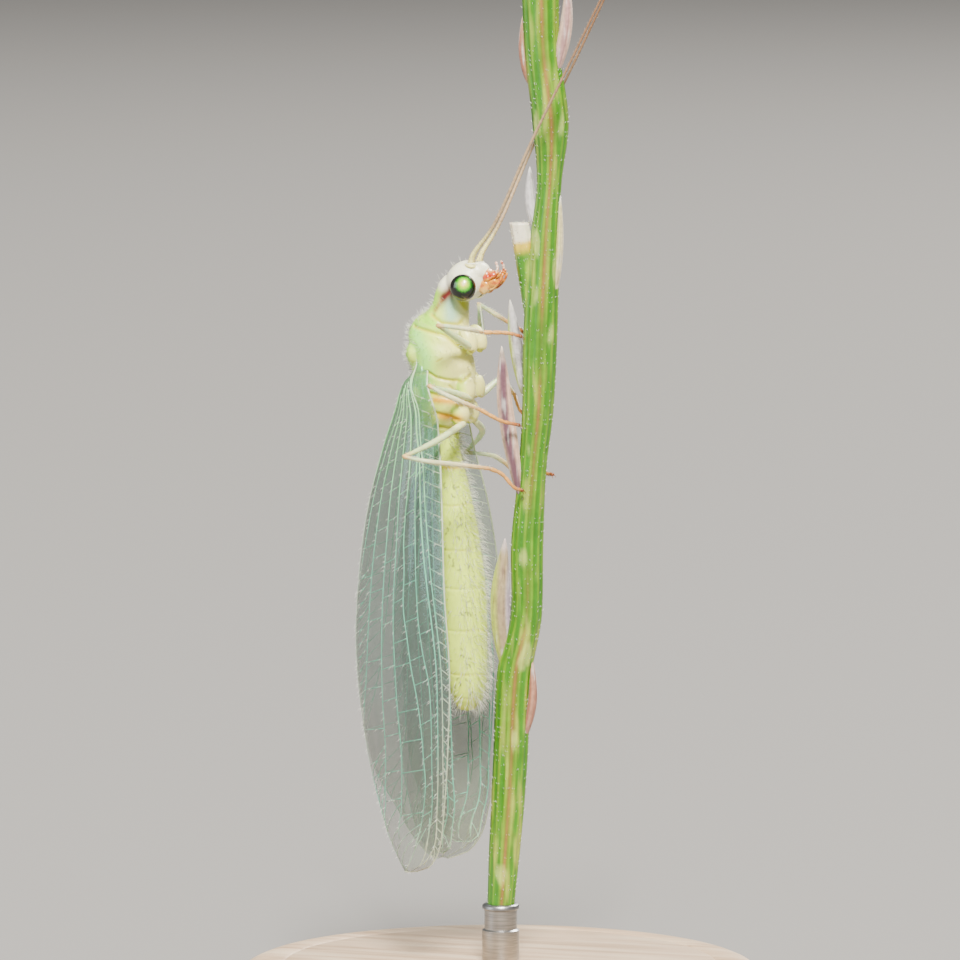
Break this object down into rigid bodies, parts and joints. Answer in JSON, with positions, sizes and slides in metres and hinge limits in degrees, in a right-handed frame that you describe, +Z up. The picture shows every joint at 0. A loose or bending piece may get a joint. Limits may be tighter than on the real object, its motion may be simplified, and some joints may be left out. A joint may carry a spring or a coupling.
{
  "type": "green lacewing on a cut grass stem",
  "caption": "Life-size green lacewing model resting head up on a cut grass stem, wings folded like a roof, long feelers forward, on a small round stand.",
  "frame": {"origin": "middle of the stand base's underside", "axes": "+Z up, towards the insect's head and along the stem; +X from the insect's back to its underside and the stem; the insect's right side faces -Y"},
  "size_m": [0.014, 0.014, 0.0304],
  "materials": {
    "flesh": "pale yellow-green insect cuticle, soft sheen",
    "face": "cream cuticle with a dark red cheek stripe",
    "mouth": "amber-red cuticle",
    "eye": "dark faceted eye with a green-gold metallic shine",
    "feeler": "tan-brown ringed feeler",
    "leg": "whitish pale green cuticle with fine hairs",
    "foot": "orange-tan foot",
    "wing": "clear membrane with green veins",
    "stem": "fresh green grass stem with fine ribs",
    "glume": "papery purple-brown grass scale",
    "stand": "pale turned base, satin",
    "rod": "short steel pin"
  },
  "bodies": {
    "root": {"prothorax": "flesh", "mesothorax": "flesh", "metathorax": "flesh", "abdomen": "flesh", "head": "face", "mouthparts": "mouth", "eye_right": "eye", "antenna_right": "feeler", "forewing_right": "wing", "hindwing_right": "wing", "fore_femur_right": "leg", "fore_tibia_right": "leg", "fore_tarsus_right": "foot", "mid_femur_right": "leg", "mid_tibia_right": "leg", "mid_tarsus_right": "foot", "hind_femur_right": "leg", "hind_tibia_right": "leg", "hind_tarsus_right": "foot", "eye_left": "eye", "antenna_left": "feeler", "forewing_left": "wing", "hindwing_left": "wing", "fore_femur_left": "leg", "fore_tibia_left": "leg", "fore_tarsus_left": "foot", "mid_femur_left": "leg", "mid_tibia_left": "leg", "mid_tarsus_left": "foot", "hind_femur_left": "leg", "hind_tibia_left": "leg", "hind_tarsus_left": "foot", "perch_stem": "stem", "perch_glume_1": "glume", "perch_glume_2": "glume", "perch_glume_3": "glume", "perch_glume_4": "glume", "perch_glume_5": "glume", "perch_glume_6": "glume", "stand_base": "stand", "stand_rod": "rod"}
  },
  "joints": []
}
